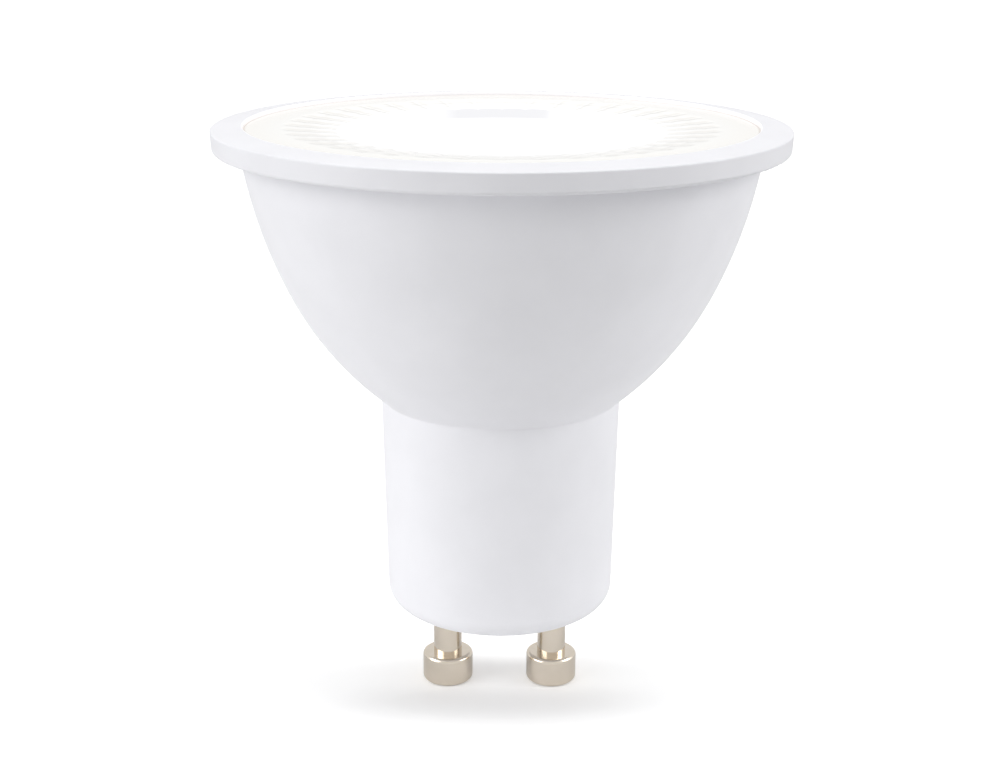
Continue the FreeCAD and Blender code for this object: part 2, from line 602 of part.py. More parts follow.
def make_lens():
    body = new_body("lens_body")
    sketch = new_sketch(body, "lens_section")
    sunk_level = f"({LENS_TOP} - sizes.facet_ring_fall - sizes.sunk_depth)"
    under = f"({sunk_level} - sizes.lens_wall)"
    wall = number("sizes.bowl_wall")
    skirt = bowl_radius_at(number(SKIRT_END), wall) - number("sizes.lens_skirt_gap")
    skirt_inner = f"({skirt} - sizes.lens_skirt_wall)"
    rows = int(number("sizes.facet_rows"))

    def ring_point(step):
        across = f"{SUNK_EDGE} + ({FACET_EDGE} - {SUNK_EDGE}) * {step} / {rows}"
        up = f"{LENS_TOP} - sizes.facet_ring_fall * ({rows} - {step}) / {rows}"
        return across, up

    corners = [ring_point(step) for step in range(rows + 1)]
    corners += [
        (LENS_EDGE, LENS_TOP),
        (LENS_EDGE, LEDGE),
        (str(skirt), LEDGE),
        (str(skirt), SKIRT_END),
        (skirt_inner, SKIRT_END),
        (skirt_inner, LEDGE),
        (f"{SUNK_EDGE} + sizes.lens_wall", LEDGE),
        (f"{SUNK_EDGE} - sizes.sunk_inset", under),
        ("0", under),
        ("0", sunk_level),
        (f"{SUNK_EDGE} - sizes.sunk_inset", sunk_level),
    ]
    points = [Vector(number(across), number(up), 0) for across, up in corners]
    crown = number("sizes.facet_crown_radius")
    chain = []
    for index, (start, end) in enumerate(zip(points, points[1:] + points[:1])):
        if index < rows:
            chord = end - start
            rise = crown - math.sqrt(crown ** 2 - (chord.Length / 2) ** 2)
            normal = Vector(-chord.y, chord.x, 0).normalize()
            chain.append(add_arc(sketch, start, (start + end) * 0.5 + normal * rise, end))
            drive(sketch, "Radius", (chain[-1][0],), "sizes.facet_crown_radius")
        else:
            chain.append((sketch.addGeometry(Part.LineSegment(start, end), False), 1, 2))
    for one, two in zip(chain, chain[1:] + chain[:1]):
        sketch.addConstraint(Sketcher.Constraint("Coincident", one[0], one[2], two[0], two[1]))
    for edge, (across, up) in zip(chain, corners):
        fix_point(sketch, edge[0], edge[1], across, up)
    revolve(body, "lens_disc", sketch)

    # One valley is a thin rod sunk into the ring along its slope, repeated round the axis
    slope = f"sizes.facet_ring_fall / ({FACET_EDGE} - {SUNK_EDGE})"
    overrun = "sizes.sunk_inset"
    rise = "(sizes.facet_groove_radius - sizes.facet_groove_depth)"
    inner_up = f"{LENS_TOP} - sizes.facet_ring_fall - {overrun} * {slope}"
    valley = polygon(body, "valley_section", [
        (f"{SUNK_EDGE} - {overrun}", f"{inner_up} + {rise}"),
        (FACET_EDGE, f"{LENS_TOP} + {rise}"),
        (FACET_EDGE, f"{LENS_TOP} + {rise} - sizes.facet_groove_radius"),
        (f"{SUNK_EDGE} - {overrun}", f"{inner_up} + {rise} - sizes.facet_groove_radius"),
    ])
    groove = revolve(body, "valley", valley, "PartDesign::Groove", "Edge1")
    ring = body.newObject("PartDesign::PolarPattern", "valleys")
    ring.Originals = [groove]
    ring.Axis = (sketch, ["V_Axis"])
    ring.Angle = 360
    ring.setExpression("Occurrences", "sizes.facet_columns")
    body.Tip = ring
    doc.recompute()
    place("lens", body)


# Heat sink: pressed cup whose floor lies on the screw bosses

def make_heat_sink():
    body = new_body("heat_sink_body")
    wall = number("sizes.bowl_wall")
    gap = number("sizes.sink_gap")
    top = f"({SKIRT_END} - sizes.sink_gap)"
    high = bowl_radius_at(number(top), wall) - gap
    section = polygon(body, "sink_section", [
        ("sizes.sink_hole_diameter / 2", BOSS_TOP),
        (str(sink_low), BOSS_TOP),
        (str(high), top),
        (f"{high} - sizes.sink_wall", top),
        (f"{sink_low} - sizes.sink_wall", SINK_FLOOR),
        ("sizes.sink_hole_diameter / 2", SINK_FLOOR),
    ])
    revolve(body, "sink_cup", section)
    hole = "sizes.screw_diameter / 2 + sizes.screw_hole_gap"
    cut_up(body, "sink_holes", circles(body, "sink_hole_circles", hole, SCREWS, BOSS_TOP), "sizes.sink_wall")
    place("heat_sink", body)


# LED board, its LEDs, screws and leads

def make_led_board():
    body = new_body("led_board_body")
    disc = circles(body, "board_circle", LED_BOARD, [("0", "0")], SINK_FLOOR)
    pad(body, "board_disc", disc, "sizes.led_board_thickness")
    hole = "sizes.screw_diameter / 2 + sizes.screw_hole_gap"
    screw_circles = circles(body, "board_screw_circles", hole, SCREWS, SINK_FLOOR)
    cut_up(body, "board_screw_holes", screw_circles, "sizes.led_board_thickness")
    lead_hole = "sizes.led_lead_width / 2 * sqrt(2) + sizes.led_lead_gap"
    leads = [(f"{sign}sizes.led_lead_spacing / 2", LED_LEAD_Y) for sign in ("", "0 - ")]
    lead_circles = circles(body, "board_lead_circles", lead_hole, leads, SINK_FLOOR)
    cut_up(body, "board_lead_holes", lead_circles, "sizes.led_board_thickness")
    place("led_board", body)


def make_led_chips():
    count = int(number("sizes.led_count"))
    circle = number(f"{LED_BOARD} - sizes.led_edge")
    length, width = number("sizes.led_length"), number("sizes.led_width")
    chips = []
    for index in range(count):
        chip = doc.addObject("Part::Box", f"led_{index + 1}")
        chip.setExpression("Length", "sizes.led_width")
        chip.setExpression("Width", "sizes.led_length")
        chip.setExpression("Height", "sizes.led_height")
        turn = FreeCAD.Rotation(Vector(0, 0, 1), 360 / count * (index + 0.5))
        corner = turn.multVec(Vector(circle - width / 2, -length / 2, 0))
        chip.Placement = FreeCAD.Placement(corner + Vector(0, 0, number(BOARD_TOP)), turn)
        chips.append(chip)
    place("led_chips", group("led_chip_group", chips))


def make_board_screws():
    screws = []
    for side, sign in (("left", "0 - "), ("right", "")):
        across = f"{sign}{SCREW}"
        tip = f"{BOARD_TOP} - sizes.screw_length"
        shank = rod(f"{side}_screw_shank", "sizes.screw_diameter / 2", "sizes.screw_length", across, "0", tip)
        head = rod(f"{side}_screw_head", "sizes.screw_head_diameter / 2", "sizes.screw_head_height",
                   across, "0", BOARD_TOP)
        screw = fuse(f"{side}_screw_blank", [shank, head])
        slot_floor = f"{BOARD_TOP} + sizes.screw_head_height - sizes.screw_slot_depth"
        reach, width, depth = (f"sizes.screw_slot_{side_of}" for side_of in ("length", "width", "depth"))
        bars = [
            block(f"{side}_screw_bar_a", across, (reach, width, depth), f"0 - {width} / 2", slot_floor),
            block(f"{side}_screw_bar_b", across, (width, reach, depth), f"0 - {reach} / 2", slot_floor),
        ]
        screws.append(cut(f"{side}_screw", screw, fuse(f"{side}_screw_cross", bars)))
    place("board_screws", group("board_screw_group", screws))


def make_led_leads():
    bottom = f"({DRIVER_TOP} - sizes.led_lead_lap)"
    length = f"({BOARD_TOP} + sizes.led_lead_stand - {bottom})"
    width = "sizes.led_lead_width"
    leads = [
        block(f"{side}_led_lead", f"{sign}sizes.led_lead_spacing / 2", (width, width, length),
              f"{DRIVER_BACK} - {width}", bottom)
        for side, sign in (("left", "0 - "), ("right", ""))
    ]
    place("led_leads", group("led_lead_group", leads))


# Driver board and what is soldered to it

def make_driver_board():
    size = (f"2 * {BOARD_SIDE}", "sizes.driver_thickness", f"{DRIVER_TOP} - {DRIVER_BOTTOM}")
    place("driver_board", block("driver_sheet", "0", size, DRIVER_BACK, DRIVER_BOTTOM))


def bent_leg(name, across, depth, bottom, length, foot_up):
    """Leg that runs up a component's middle, with a foot back to the board at its bend."""
    leg = "sizes.leg_width"
    upright = block(f"{name}_upright", across, (leg, leg, length), f"{depth} - {leg} / 2", bottom)
    foot = block(f"{name}_foot", across, (leg, f"{depth} + {leg} / 2 - {DRIVER_FRONT}", leg),
                 DRIVER_FRONT, foot_up)
    return [upright, foot]


def make_capacitor(node, diameter, height, across, bottom):
    """Electrolytic can standing along the board, with two legs bent back to it."""
    body = new_body(f"{node}_body")
    radius = f"{diameter} / 2"
    bead = "sizes.cap_bead_height"
    groove = f"{radius} - sizes.cap_bead_depth"
    can = polygon(body, f"{node}_section", [
        ("0", "0"),
        (radius, "0"),
        (radius, f"{bead} - sizes.cap_bead_depth"),
        (groove, bead),
        (radius, f"{bead} + sizes.cap_bead_depth"),
        (radius, height),
        ("0", height),
    ])
    revolve(body, f"{node}_can", can)
    round_edges(body, f"{node}_top_edge", "sizes.cap_bead_depth", [(radius, height)])
    depth = f"({DRIVER_FRONT} + sizes.part_gap + {radius})"
    move(body, across, depth, bottom)
    legs = []
    for side, sign in (("a", "-"), ("b", "+")):
        leg_across = f"({across} {sign} {diameter} / 4)"
        legs += bent_leg(f"{node}_leg_{side}", leg_across, depth, f"{bottom} - sizes.leg_drop",
                         "sizes.leg_drop + sizes.leg_root", f"{bottom} - sizes.leg_drop")
    place(node, fuse(f"{node}_whole", [body] + legs))


def make_fuse_resistor():
    radius = "sizes.fuse_diameter / 2"
    across = f"(0 - {BOARD_SIDE} + sizes.fuse_edge + {radius})"
    depth = f"({DRIVER_FRONT} + {radius})"
    bottom = f"({DRIVER_BOTTOM} + sizes.fuse_lift)"
    body = rod("fuse_barrel", radius, "sizes.fuse_length", across, depth, bottom)
    whole = "sizes.fuse_length + sizes.leg_drop"
    legs = bent_leg("fuse_low", across, depth, f"{bottom} - sizes.leg_drop", whole,
                    f"{bottom} - sizes.leg_drop")
    legs += bent_leg("fuse_high", across, depth, bottom, whole, f"{bottom} + {whole} - sizes.leg_width")
    place("fuse_resistor", fuse("fuse_whole", [body] + legs))


def make_film_capacitor():
    size = ("sizes.film_cap_width", "sizes.film_cap_depth", "sizes.film_cap_height")
    across = f"({BOARD_SIDE} - sizes.film_cap_edge - sizes.film_cap_width / 2)"
    box = block("film_case", across, size, DRIVER_FRONT, f"{DRIVER_BOTTOM} + sizes.film_cap_lift")
    rounded = doc.addObject("Part::Fillet", "film_case_rounded")
    rounded.Base = box
    doc.recompute()
    radius = number("sizes.film_cap_round")
    middle = box.Shape.CenterOfMass.y
    front_uprights = [
        index for index, edge in enumerate(box.Shape.Edges, start=1)
        if abs(edge.tangentAt(edge.FirstParameter).z) > 0.9 and edge.CenterOfMass.y > middle
    ]
    rounded.Edges = [(index, radius, radius) for index in front_uprights]
    place("emi_capacitor", rounded)


def make_transformer():
    across = f"(0 - {BOARD_SIDE} + sizes.core_edge + sizes.core_width / 2)"
    front = f"({DRIVER_FRONT} + (sizes.coil_depth - sizes.core_depth) / 2)"
    frame = block("core_frame", across, ("sizes.core_width", "sizes.core_depth", "sizes.core_height"),
                  front, CORE)
    window_width = "((sizes.core_width - sizes.core_leg) / 2 - sizes.core_yoke)"
    window_height = "(sizes.core_height - 2 * sizes.core_yoke)"
    windows = [
        block(f"core_window_{side}", f"{across} {sign} (sizes.core_leg + {window_width}) / 2",
              (window_width, "sizes.core_depth", window_height), front, f"{CORE} + sizes.core_yoke")
        for side, sign in (("left", "-"), ("right", "+"))
    ]
    core = cut("core_cut", frame, fuse("core_windows", windows))
    place("transformer_core", core)

    # Bobbin: a sleeve round the middle leg, wound between two flanges
    coil_width = f"(sizes.core_leg + 2 * {window_width} - 2 * sizes.coil_gap)"
    coil_height = f"({window_height} - 2 * sizes.coil_gap)"
    coil_bottom = f"({CORE} + sizes.core_yoke + sizes.coil_gap)"
    step = "sizes.bobbin_step"
    winding = block("winding", across, (f"{coil_width} - 2 * {step}", f"sizes.coil_depth - 2 * {step}",
                                        coil_height), f"{DRIVER_FRONT} + {step}", coil_bottom)
    flange = (coil_width, "sizes.coil_depth", "sizes.bobbin_flange")
    low = block("bobbin_low", across, flange, DRIVER_FRONT, coil_bottom)
    high = block("bobbin_high", across, flange, DRIVER_FRONT,
                 f"{coil_bottom} + {coil_height} - sizes.bobbin_flange")
    leg = block("bobbin_hole", across, ("sizes.core_leg + 2 * sizes.coil_gap",
                                        "sizes.core_depth + 2 * sizes.coil_gap", coil_height),
                f"{front} - sizes.coil_gap", coil_bottom)
    place("transformer_coil", cut("coil_cut", fuse("coil_blank", [winding, low, high]), leg))


def make_chip(node, width, height, depth, across, bottom, feet):
    """Moulded package on the back of the board, with feet along its two sides."""
    case = block(f"{node}_case", across, (width, depth, height), f"{DRIVER_BACK} - {depth}", bottom)
    pieces = [case]
    for index in range(feet):
        up = f"{bottom} + {height} * {index + 0.5} / {feet} - sizes.foot_width / 2"
        size = (f"{width} + 2 * sizes.foot_length", "sizes.foot_thickness", "sizes.foot_width")
        pieces.append(block(f"{node}_foot_{index + 1}", across, size,
                            f"{DRIVER_BACK} - sizes.foot_thickness", up))
    place(node, fuse(f"{node}_whole", pieces))


def make_chip_resistors():
    size = ("sizes.resistor_width", "sizes.resistor_depth", "sizes.resistor_length")
    across = f"({BOARD_SIDE} - sizes.resistor_edge - sizes.resistor_width / 2)"
    chips = []
    for side, sign in (("left", "0 - "), ("right", "")):
        for index in range(int(number("sizes.resistor_rows"))):
            up = f"{DRIVER_BOTTOM} + sizes.resistor_lift + sizes.resistor_pitch * {index}"
            chips.append(block(f"{side}_resistor_{index + 1}", f"{sign}{across}", size,
                               f"{DRIVER_BACK} - sizes.resistor_depth", up))
    place("chip_resistors", group("chip_resistor_group", chips))


# Contact pins, their washers and the mains leads

def make_contact_pin(side, sign):
    body = new_body(f"{side}_pin_body")
    shank = "sizes.pin_shank_diameter / 2"
    head = "sizes.pin_head_diameter / 2"
    bore = "sizes.pin_bore_diameter / 2"
    section = polygon(body, f"{side}_pin_section", [
        ("0", "0"),
        (head, "0"),
        (head, "sizes.pin_head_height"),
        (shank, "sizes.pin_head_height"),
        (shank, RIVET),
        ("sizes.rivet_diameter / 2", RIVET),
        ("sizes.rivet_diameter / 2", PIN_TOP),
        (bore, PIN_TOP),
        (bore, f"{PIN_TOP} - sizes.pin_bore_depth"),
        ("0", f"{PIN_TOP} - sizes.pin_bore_depth"),
    ])
    revolve(body, f"{side}_pin_turned", section)
    round_edges(body, f"{side}_pin_edges", "sizes.pin_head_round",
                [(head, "0"), (head, "sizes.pin_head_height")])
    body.setExpression("Placement.Base.x", f"{sign}sizes.pin_spacing / 2")
    place(f"contact_pin_{side}", body)


def make_pin_washers():
    washers = []
    for side, sign in (("left", "0 - "), ("right", "")):
        across = f"{sign}sizes.pin_spacing / 2"
        disc = rod(f"{side}_washer_disc", "sizes.washer_diameter / 2", "sizes.washer_thickness",
                   across, "0", BASE)
        hole = rod(f"{side}_washer_hole", "sizes.pin_shank_diameter / 2 + sizes.pin_hole_gap",
                   "sizes.washer_thickness", across, "0", BASE)
        washers.append(cut(f"{side}_washer", disc, hole))
    place("pin_washers", group("washer_group", washers))


def make_mains_lead(side, sign):
    bottom = f"({PIN_TOP} - sizes.lead_depth)"
    length = f"{DRIVER_BOTTOM} + sizes.lead_lap - {bottom}"
    lead = rod(f"{side}_mains_lead", "sizes.lead_diameter / 2", length,
               f"{sign}sizes.pin_spacing / 2", "0", bottom)
    place(f"mains_lead_{side}", lead)


make_housing()
make_lens()
make_heat_sink()
make_led_board()
make_led_chips()
make_board_screws()
make_led_leads()
make_driver_board()
make_capacitor("input_capacitor", f"({BORE} - sizes.input_cap_gap - sizes.part_gap - {DRIVER_FRONT})",
               "sizes.input_cap_height", "0", INPUT_CAP)
make_capacitor("output_capacitor", "sizes.output_cap_diameter", "sizes.output_cap_height",
               f"({BOARD_SIDE} - sizes.output_cap_edge - sizes.output_cap_diameter / 2)",
               f"({CORE} + sizes.output_cap_lift)")
make_fuse_resistor()
make_film_capacitor()
make_transformer()
make_chip("bridge_rectifier", "sizes.bridge_width", "sizes.bridge_height", "sizes.bridge_depth",
          "0", f"({DRIVER_BOTTOM} + sizes.bridge_lift)", 2)
make_chip("driver_ic", "sizes.chip_width", "sizes.chip_height", "sizes.chip_depth",
          "0", f"({DRIVER_BOTTOM} + sizes.chip_lift)", 4)
make_chip("output_diode", "sizes.diode_width", "sizes.diode_height", "sizes.diode_depth",
          f"({BOARD_SIDE} - sizes.diode_edge - sizes.diode_width / 2)", f"({CORE} + sizes.diode_lift)", 1)
make_chip_resistors()
for side, sign in (("left", "0 - "), ("right", "")):
    make_contact_pin(side, sign)
    make_mains_lead(side, sign)
make_pin_washers()
doc.recompute()

# Nothing is written unless every object and every sub-part is sound
for item in doc.Objects:
    if "Invalid" in item.State or "Error" in item.State:
        raise RuntimeError(f"{item.Label} is {item.State}")
for name, item in parts.items():
    if item.Shape.isNull() or not item.Shape.isValid():
        raise RuntimeError(f"{name} has no valid shape")

os.makedirs("parts", exist_ok=True)
for name, item in sorted(parts.items()):
    item.Shape.exportStep(f"parts/{name}.step")
    solids = item.Shape.Solids
    print(f"{name}: {len(solids)} solid(s), {sum(solid.Volume for solid in solids):.2f} mm3")
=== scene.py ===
"""GU10 LED spotlight bulb, lit, standing on its contact pins on a white floor."""
import math

import bpy
from mathutils import Euler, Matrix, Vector


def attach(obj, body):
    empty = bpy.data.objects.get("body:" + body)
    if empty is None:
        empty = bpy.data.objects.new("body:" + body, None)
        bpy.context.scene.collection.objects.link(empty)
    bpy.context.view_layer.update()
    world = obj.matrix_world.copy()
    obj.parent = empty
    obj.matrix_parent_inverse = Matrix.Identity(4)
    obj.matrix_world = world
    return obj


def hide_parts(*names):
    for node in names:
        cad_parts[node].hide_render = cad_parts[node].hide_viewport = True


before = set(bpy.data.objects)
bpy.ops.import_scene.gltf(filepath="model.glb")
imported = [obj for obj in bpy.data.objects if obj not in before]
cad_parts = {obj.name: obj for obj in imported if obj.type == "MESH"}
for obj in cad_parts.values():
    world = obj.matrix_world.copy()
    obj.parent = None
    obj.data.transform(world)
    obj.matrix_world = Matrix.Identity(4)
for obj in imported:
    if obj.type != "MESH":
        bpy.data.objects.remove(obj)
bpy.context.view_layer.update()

MM = 0.001

# The lamp's sizes in millimetres, as in its solids
LAMP_HEIGHT = 53.8
LENS_EDGE = 22.4
LENS_TOP = 53.47
LENS_LEDGE = 51.97
FACET_EDGE = 19.3
SUNK_EDGE = 14.4
FACET_FALL = 0.37
SUNK_DEPTH = 0.85
SUNK_INSET = 0.3
LENS_WALL = 1.5
SKIRT_EDGE = 21.13
SKIRT_END = 49.97
SKIRT_WALL = 1.0

# The facets: rows from the sunk middle outwards and columns round it, each drawn in steps
FACET_ROWS = 3
FACET_COLUMNS = 40
ROW_STEPS = 6
COLUMN_STEPS = 10
SUNK_FLOOR_STEPS = 4
SUNK_WALL_STEPS = 2
# Their relief in millimetres: the crown of each row, and the valleys between the columns, which
# stop short of the facet ring's outer edge
FACET_CROWN = 0.03
VALLEY_DEPTH = 0.08
VALLEY_SHARPNESS = 2.5
VALLEY_STOP = 0.3
LEAST_DEPTH = 0.001
# Millimetres within which a place still belongs to the facets, and within which vertices are
# merged, and the angle in degrees above which an edge stays sharp
TOLERANCE = 0.01
MERGE_DISTANCE = 0.001
SMOOTH_ANGLE = 30

# Painted glow in place of the LEDs' light coming up through the lens: share of its radius and
# colour there. The last two stops paint a thin darker, browner ring at the edge, painted shade from
# the housing's rim
LENS_GLOW = 1.26
LENS_LIGHT = [
    (SUNK_EDGE / LENS_EDGE, "#FFFFFF"),
    (0.75, "#F1F0EE"),
    (FACET_EDGE / LENS_EDGE, "#F0EFEC"),
    (0.990, "#EDEAE5"),
    (0.996, "#C9BFB5"),
]
# Painted shade on the facets: slope of a facet's side round the lamp's axis, and what is left of
# the painted glow there. The slope counts by these shares in the middle of the front and back, and
# at the two sides
FACET_LIGHT = [(0.02, "#FFFFFF"), (0.12, "#DEDCD9")]
FACET_CONTRAST = (0.25, 1.0)
# Painted shade on the wall of the sunk middle: how far a face looks upwards, and what is left of
# the painted glow there. Between these shares of the way to a side the painted shade ends
WALL_LIGHT = [(0.40, "#D9D9DC"), (0.70, "#FFFFFF")]
WALL_LIT_SIDES = (0.3, 0.7)
# Share of the lens's light that a low view can take away at most
MOST_MIRRORED = 0.6
ACRYLIC_IOR = 1.49

# Painted light: a glow painted on the low wall of the housing's opening for the lens's light on
# it, and how far past the lens's edge it begins and ends to fade, in millimetres
WALL_GLOW = 0.2
WALL_GLOW_ENDS = (0.1, 0.16)

# Rings left by the lathe on the pins, in millimetres; a wave texture has 20 radians per unit
RING_PITCH = 0.36
WAVE_RADIANS = 20

# White paper: its colour, and up to how many millimetres from the lamp it lights the lamp fully
# and at all
FLOOR_SEEN = "#F0F0F0"
PAPER_LIT = 80.0
PAPER_DARK = 190.0
# The shadow's ellipse: reach to the sides and shift to the front in millimetres, and how many
# times shorter it is from front to back
SHADOW_REACH = 60.0
SHADOW_FORWARD = 5.5
SHADOW_SQUEEZE = 3.4
# Share of the shadow's reach, and the light added to the paper there for the camera
FLOOR_LIFT = [
    (0.0, 0.0),
    (0.1, 0.02),
    (0.2, 0.15),
    (0.3, 0.27),
    (0.45, 0.30),
    (0.6, 0.4),
    (0.85, 0.75),
    (1.0, 0.75),
]
# The same for the paper as the surfaces mirror it
REFLECTED_LIFT = 0.05
# Width of the paper, and its gap below the pins, in metres
FLOOR_SIZE = 8.0
FLOOR_DROP = 0.00002

# Level of the room: the light that it gives, and what the surfaces mirror of it
WORLD_LIGHT = 0.40
WORLD_MIRRORED = 0.88

# Softboxes in metres and watts: name, place, size, power
AIM = (0.0, 0.0, 0.03)
SOFTBOXES = [
    ("left_front_softbox", (-0.34, -0.20, 0.12), (0.30, 0.40), 0.88),
    ("left_high_softbox", (-0.40, -0.10, 0.25), (0.25, 0.25), 0.40),
    ("right_high_softbox", (0.40, -0.10, 0.25), (0.25, 0.25), 0.83),
    ("right_softbox", (0.40, 0.0, 0.10), (0.30, 0.40), 0.21),
    ("top_softbox", (0.0, 0.0, 0.50), (0.40, 0.40), 0.70),
]

# Camera, fitted to the outline in the photograph: metres, millimetres and degrees
CAMERA_PLACE = (-0.00006, -0.139118, LAMP_HEIGHT * MM + 0.018801)
CAMERA_SENSOR = 36.0
CAMERA_LENS = 56.96
CAMERA_NEAR = 0.005
CAMERA_PITCH = 17.296
CAMERA_ROLL = 0.25

# Finishes of the pieces inside: nodes, material's name, darker and lighter colour, roughness, and
# what differs from a plain, fine-grained and non-metallic finish
INSIDE_FINISHES = [
    (["pin_washers", "board_screws", "led_leads"],
     "zinc_plated_steel", "#A9ABAD", "#C2C4C6", 0.35, {"metallic": 1.0, "grain_mm": 0.3}),
    (["heat_sink"],
     "pressed_aluminium", "#C4C6C8", "#D6D8DA", 0.4, {"metallic": 1.0, "grain_mm": 0.8}),
    (["led_board"], "white_solder_mask", "#EDEDE8", "#F4F4F0", 0.45, {}),
    (["driver_board"], "green_solder_mask", "#1C5A33", "#236B3D", 0.4, {"grain_mm": 0.8}),
    (["fuse_resistor"], "blue_lacquer", "#3A6E9C", "#4279A8", 0.3, {}),
    (["bridge_rectifier", "driver_ic", "output_diode", "chip_resistors"],
     "black_moulding_compound", "#18181A", "#242426", 0.6, {"grain_mm": 0.15}),
    (["emi_capacitor"], "yellow_case", "#D9A520", "#E2B02C", 0.35, {}),
    (["input_capacitor", "output_capacitor"],
     "black_shrink_sleeve", "#17181C", "#1F2025", 0.3, {"grain_mm": 0.8}),
    (["transformer_core"], "sintered_ferrite", "#2A2A2C", "#38383A", 0.7, {"grain_mm": 0.2}),
    (["transformer_coil"], "polyester_tape", "#D8B93C", "#E3C650", 0.3, {}),
    (["mains_lead_left", "mains_lead_right"],
     "silicone_insulation", "#DDDBD4", "#E6E4DD", 0.5, {}),
]


# Nodes of materials

def linear(code):
    """Linear RGBA of an sRGB hex colour."""
    channels = [int(code[index:index + 2], 16) / 255 for index in (1, 3, 5)]
    return tuple(
        value / 12.92 if value <= 0.04045 else ((value + 0.055) / 1.055) ** 2.4
        for value in channels
    ) + (1.0,)


def new_material(name):
    """Material with an empty node tree apart from its shader and output."""
    material = bpy.data.materials.new(name)
    material.use_nodes = True
    return material, material.node_tree.nodes["Principled BSDF"]


def add(shader, kind, settings=None, inputs=None, links=None):
    """Add a node beside a shader: its properties, its input values, and what feeds its inputs."""
    tree = shader.id_data
    node = tree.nodes.new(kind)
    for key, value in (settings or {}).items():
        setattr(node, key, value)
    for key, value in (inputs or {}).items():
        node.inputs[key].default_value = value
    for key, source in (links or {}).items():
        tree.links.new(source, node.inputs[key])
    return node


def feed(shader, socket, source):
    shader.id_data.links.new(source, shader.inputs[socket])


def calculate(shader, operation, *terms):
    """Result of a math node. Each term is a number or another node's output."""
    values = {index: term for index, term in enumerate(terms) if isinstance(term, (int, float))}
    sources = {index: term for index, term in enumerate(terms) if index not in values}
    return add(shader, "ShaderNodeMath", settings={"operation": operation},
               inputs=values, links=sources).outputs["Value"]


def map_range(shader, source, low, high, start=0.0, end=1.0):
    """Map a value that runs from start to end onto low to high."""
    return add(shader, "ShaderNodeMapRange",
               inputs={"From Min": start, "From Max": end, "To Min": low, "To Max": high},
               links={"Value": source}).outputs["Result"]


def mix_colours(shader, factor, first, second, blend_type="MIX"):
    """Mix of two colours. Each argument is a value or another node's output."""
    node = add(shader, "ShaderNodeMix", settings={"data_type": "RGBA", "blend_type": blend_type})
    # The node's colour sockets share their names with others, so they are found by number
    for socket, value in ((node.inputs[0], factor), (node.inputs[6], first),
                          (node.inputs[7], second)):
        if isinstance(value, (float, tuple)):
            socket.default_value = value
        else:
            shader.id_data.links.new(value, socket)
    return node.outputs[2]


def ramp(shader, source, stops, interpolation="LINEAR"):
    """Colour ramp with stops of a position and a hex colour or plain level."""
    node = add(shader, "ShaderNodeValToRGB", links={"Fac": source})
    node.color_ramp.interpolation = interpolation
    elements = node.color_ramp.elements
    while len(elements) < len(stops):
        elements.new(0.5)
    for element, (position, shade) in zip(elements, stops):
        element.position = position
        element.color = linear(shade) if isinstance(shade, str) else (shade, shade, shade, 1.0)
    return node.outputs["Color"]


def object_position(shader):
    return add(shader, "ShaderNodeTexCoord").outputs["Object"]


def split(shader, vector, axis):
    """One part of a vector: X, Y or Z."""
    return add(shader, "ShaderNodeSeparateXYZ", links={0: vector}).outputs[axis]


def length(shader, vector):
    return add(shader, "ShaderNodeVectorMath", settings={"operation": "LENGTH"},
               links={0: vector}).outputs["Value"]


def flat_position(shader):
    """Place on the plan, seen from above."""
    return add(shader, "ShaderNodeVectorMath", settings={"operation": "MULTIPLY"},
               inputs={1: (1.0, 1.0, 0.0)}, links={0: object_position(shader)}).outputs["Vector"]


def axis_distance(shader):
    """Distance from the lamp's axis."""
    return length(shader, flat_position(shader))


def share_of(shader, source, whole_mm):
    return calculate(shader, "DIVIDE", source, whole_mm * MM)


def ray_is(shader, *kinds):
    """1 for rays of these kinds and 0 for others."""
    path = add(shader, "ShaderNodeLightPath")
    found = path.outputs[f"Is {kinds[0]} Ray"]
    for kind in kinds[1:]:
        found = calculate(shader, "MAXIMUM", found, path.outputs[f"Is {kind} Ray"])
    return found


def grain(shader, size_mm, detail=3.0):
    """Noise whose lumps are about this many millimetres across."""
    return add(shader, "ShaderNodeTexNoise", inputs={"Scale": 1 / (size_mm * MM), "Detail": detail},
               links={"Vector": object_position(shader)}).outputs["Fac"]


def bump(shader, height, depth_mm):
    """Bump of this depth, fed to the shader's normal."""
    node = add(shader, "ShaderNodeBump", inputs={"Strength": 1.0, "Distance": depth_mm * MM},
               links={"Height": height})
    feed(shader, "Normal", node.outputs["Normal"])


def shade_between(shader, source, dark, light):
    """Colour that drifts between two hex colours along a noise."""
    feed(shader, "Base Color", ramp(shader, source, [(0.35, dark), (0.65, light)]))


# Materials

def moulded_polyester():
    """White glass-filled PBT, moulded in a satin, spark-eroded tool: soft broad highlights. The
    low wall of the opening has a painted glow that stands in for the lens's light on it."""
    material, shader = new_material("moulded_white_PBT")
    shader.inputs["IOR"].default_value = 1.5
    shader.inputs["Specular IOR Level"].default_value = 0.35
    shade_between(shader, grain(shader, size_mm=6.0), "#EFEFF3", "#F2F2F6")

    # Painted light: emission on the wall of the opening, next to the lens's edge, stands in for the
    # lens's light falling on it
    start, end = ((LENS_EDGE + past) * MM for past in WALL_GLOW_ENDS)
    near = map_range(shader, axis_distance(shader), WALL_GLOW, 0.0, start, end)
    above = calculate(shader, "GREATER_THAN",
                      split(shader, object_position(shader), "Z"), LENS_LEDGE * MM)
    shader.inputs["Emission Color"].default_value = linear("#FFFFFF")
    feed(shader, "Emission Strength", calculate(shader, "MULTIPLY", near, above))

    feed(shader, "Roughness", map_range(shader, grain(shader, size_mm=0.9), low=0.36, high=0.46))
    bump(shader, grain(shader, size_mm=0.35, detail=2.0), depth_mm=0.006)
    return material


